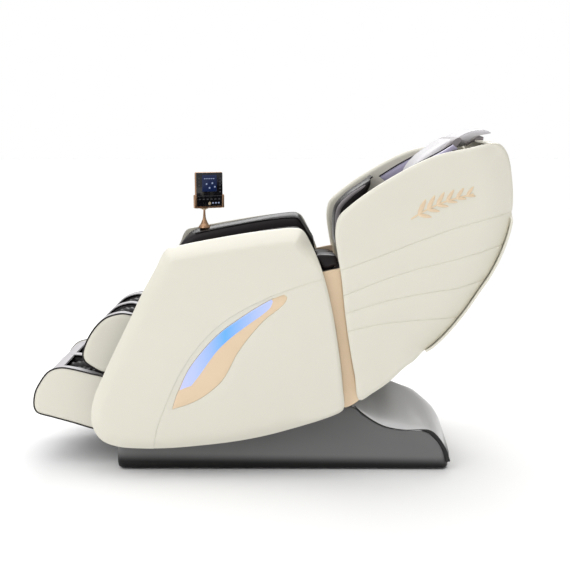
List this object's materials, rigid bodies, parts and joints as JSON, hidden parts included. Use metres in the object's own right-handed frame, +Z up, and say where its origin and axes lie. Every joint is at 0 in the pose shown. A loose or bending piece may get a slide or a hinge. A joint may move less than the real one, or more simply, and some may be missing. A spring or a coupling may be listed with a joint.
{
  "type": "massage chair",
  "caption": "Reclining massage chair with wrap-around side shells, padded armrests, lifting and extending leg rest, slide-forward base and a swivelling tablet control.",
  "frame": {"origin": "floor level, under the centre of the chair's outline", "axes": "+Z up, the sitter faces -X, the sitter's left hand is at -Y"},
  "size_m": [1.6104, 0.8, 1.161],
  "materials": {
    "cream_panel": "smooth semi-gloss ivory moulding",
    "cream_leather": "smooth ivory synthetic leather with quilted seams",
    "black_leather": "black grained synthetic leather",
    "lavender_leather": "pale lavender grey synthetic leather",
    "champagne_trim": "satin champagne gold",
    "light_guide": "milky diffuser lit blue from inside",
    "base_grey": "dark grey semi-gloss moulding",
    "hood_grey": "light grey semi-gloss moulding",
    "dark_steel": "black powder coat",
    "black_plastic": "fine textured moulding",
    "black_rubber": "matt",
    "tablet_glass": "black glass front in a champagne bezel"
  },
  "bodies": {
    "base": {"base_shell": "base_grey", "base_hood": "hood_grey", "base_chassis": "dark_steel", "foot_skid_front": "black_rubber", "foot_skid_rear": "black_rubber", "power_inlet": "black_plastic", "seat_actuator_body": "dark_steel"},
    "wheel_left": {"transport_wheel_left": "black_rubber"},
    "wheel_right": {"transport_wheel_right": "black_rubber"},
    "switch": {"power_switch": "black_plastic"},
    "seat": {"seat_frame": "dark_steel", "seat_actuator_rod": "dark_steel", "seat_cushion": "black_leather", "recline_motor": "dark_steel", "leg_motor": "dark_steel", "tablet_stand": "champagne_trim", "arm_panel_left": "cream_panel", "arm_panel_right": "cream_panel", "arm_pad_left": "black_leather", "arm_pad_right": "black_leather", "accent_trim_left": "champagne_trim", "accent_trim_right": "champagne_trim", "light_strip_left": "light_guide", "light_strip_right": "light_guide", "corner_post_left": "champagne_trim", "corner_post_right": "champagne_trim", "arm_bridge_left": "black_leather", "arm_bridge_right": "black_leather"},
    "back": {"back_frame": "dark_steel", "back_pad": "black_leather", "rear_cover": "cream_panel", "head_pillow": "lavender_leather", "back_wing_left": "cream_leather", "back_wing_right": "cream_leather", "side_bolster_left": "black_leather", "side_bolster_right": "black_leather"},
    "carriage": {"carriage_frame": "dark_steel", "carriage_motor": "black_plastic"},
    "roller_upper_left": {"massage_roller_upper_left": "black_plastic"},
    "roller_upper_right": {"massage_roller_upper_right": "black_plastic"},
    "roller_lower_left": {"massage_roller_lower_left": "black_plastic"},
    "roller_lower_right": {"massage_roller_lower_right": "black_plastic"},
    "calf": {"calf_frame": "black_plastic", "calf_pad": "black_leather", "calf_divider": "black_leather", "calf_panel_left": "cream_panel", "calf_panel_right": "cream_panel", "calf_wall_left": "black_leather", "calf_wall_right": "black_leather"},
    "foot": {"foot_tray": "black_plastic", "foot_divider": "black_leather", "foot_panel_left": "cream_panel", "foot_panel_right": "cream_panel", "foot_wall_left": "black_leather", "foot_wall_right": "black_leather"},
    "sole_left": {"sole_roller_left": "black_plastic"},
    "sole_right": {"sole_roller_right": "black_plastic"},
    "holder": {"tablet_holder": "champagne_trim"},
    "tablet": {"tablet": "tablet_glass"},
    "home_key": {"tablet_button": "champagne_trim"}
  },
  "joints": [
    {"name": "seat_slide", "type": "slide", "parent": "base", "child": "seat", "axis": [-1, 0, 0], "range_m": [0, 0.18]},
    {"name": "back_recline", "type": "hinge", "parent": "seat", "child": "back", "pos_m": [0.312, 0, 0.262], "axis": [0, 1, 0], "range_deg": [0, 28]},
    {"name": "leg_lift", "type": "hinge", "parent": "seat", "child": "calf", "pos_m": [-0.412, 0, 0.478], "axis": [0, 1, 0], "range_deg": [0, 65]},
    {"name": "foot_extend", "type": "slide", "parent": "calf", "child": "foot", "axis": [-0.5151, 0, -0.8571], "range_m": [0, 0.1]},
    {"name": "massage_travel", "type": "slide", "parent": "back", "child": "carriage", "axis": [0.6129, 0, 0.7902], "range_m": [-0.24, 0.28]},
    {"name": "tablet_swivel", "type": "hinge", "parent": "seat", "child": "holder", "pos_m": [-0.25, 0.294, 0.85], "axis": [0, 0, 1], "range_deg": [-60, 60]},
    {"name": "tablet_tilt", "type": "hinge", "parent": "holder", "child": "tablet", "pos_m": [-0.25423, 0.30306, 0.876], "axis": [-0.9063, -0.4226, 0], "range_deg": [-5, 35]},
    {"name": "home_key_press", "type": "slide", "parent": "tablet", "child": "home_key", "axis": [-0.4226, 0.9063, 0], "range_m": [0, 0.0012], "stiffness_N_per_m": 400},
    {"name": "power_rocker", "type": "hinge", "parent": "base", "child": "switch", "pos_m": [0.6425, 0.1155, 0.042], "axis": [0, 1, 0], "range_deg": [0, 14]},
    {"name": "wheel_spin_left", "type": "hinge", "parent": "base", "child": "wheel_left", "pos_m": [0.53, -0.236, 0.027], "axis": [0, 1, 0], "continuous": true},
    {"name": "wheel_spin_right", "type": "hinge", "parent": "base", "child": "wheel_right", "pos_m": [0.53, 0.236, 0.027], "axis": [0, 1, 0], "continuous": true},
    {"name": "roller_spin_upper_left", "type": "hinge", "parent": "carriage", "child": "roller_upper_left", "pos_m": [0.4628, -0.062, 0.76924], "axis": [0, 1, 0], "continuous": true},
    {"name": "roller_spin_lower_left", "type": "hinge", "parent": "carriage", "child": "roller_lower_left", "pos_m": [0.38679, -0.062, 0.67127], "axis": [0, 1, 0], "continuous": true},
    {"name": "roller_spin_upper_right", "type": "hinge", "parent": "carriage", "child": "roller_upper_right", "pos_m": [0.4628, 0.062, 0.76924], "axis": [0, 1, 0], "continuous": true},
    {"name": "roller_spin_lower_right", "type": "hinge", "parent": "carriage", "child": "roller_lower_right", "pos_m": [0.38679, 0.062, 0.67127], "axis": [0, 1, 0], "continuous": true},
    {"name": "sole_spin_left", "type": "hinge", "parent": "foot", "child": "sole_left", "pos_m": [-0.69, -0.105, 0.2], "axis": [0, 1, 0], "continuous": true},
    {"name": "sole_spin_right", "type": "hinge", "parent": "foot", "child": "sole_right", "pos_m": [-0.69, 0.105, 0.2], "axis": [0, 1, 0], "continuous": true}
  ],
  "couplings": [
    {"joint": "seat_slide", "follows": "back_recline", "m_per_rad": 0.36833}
  ]
}
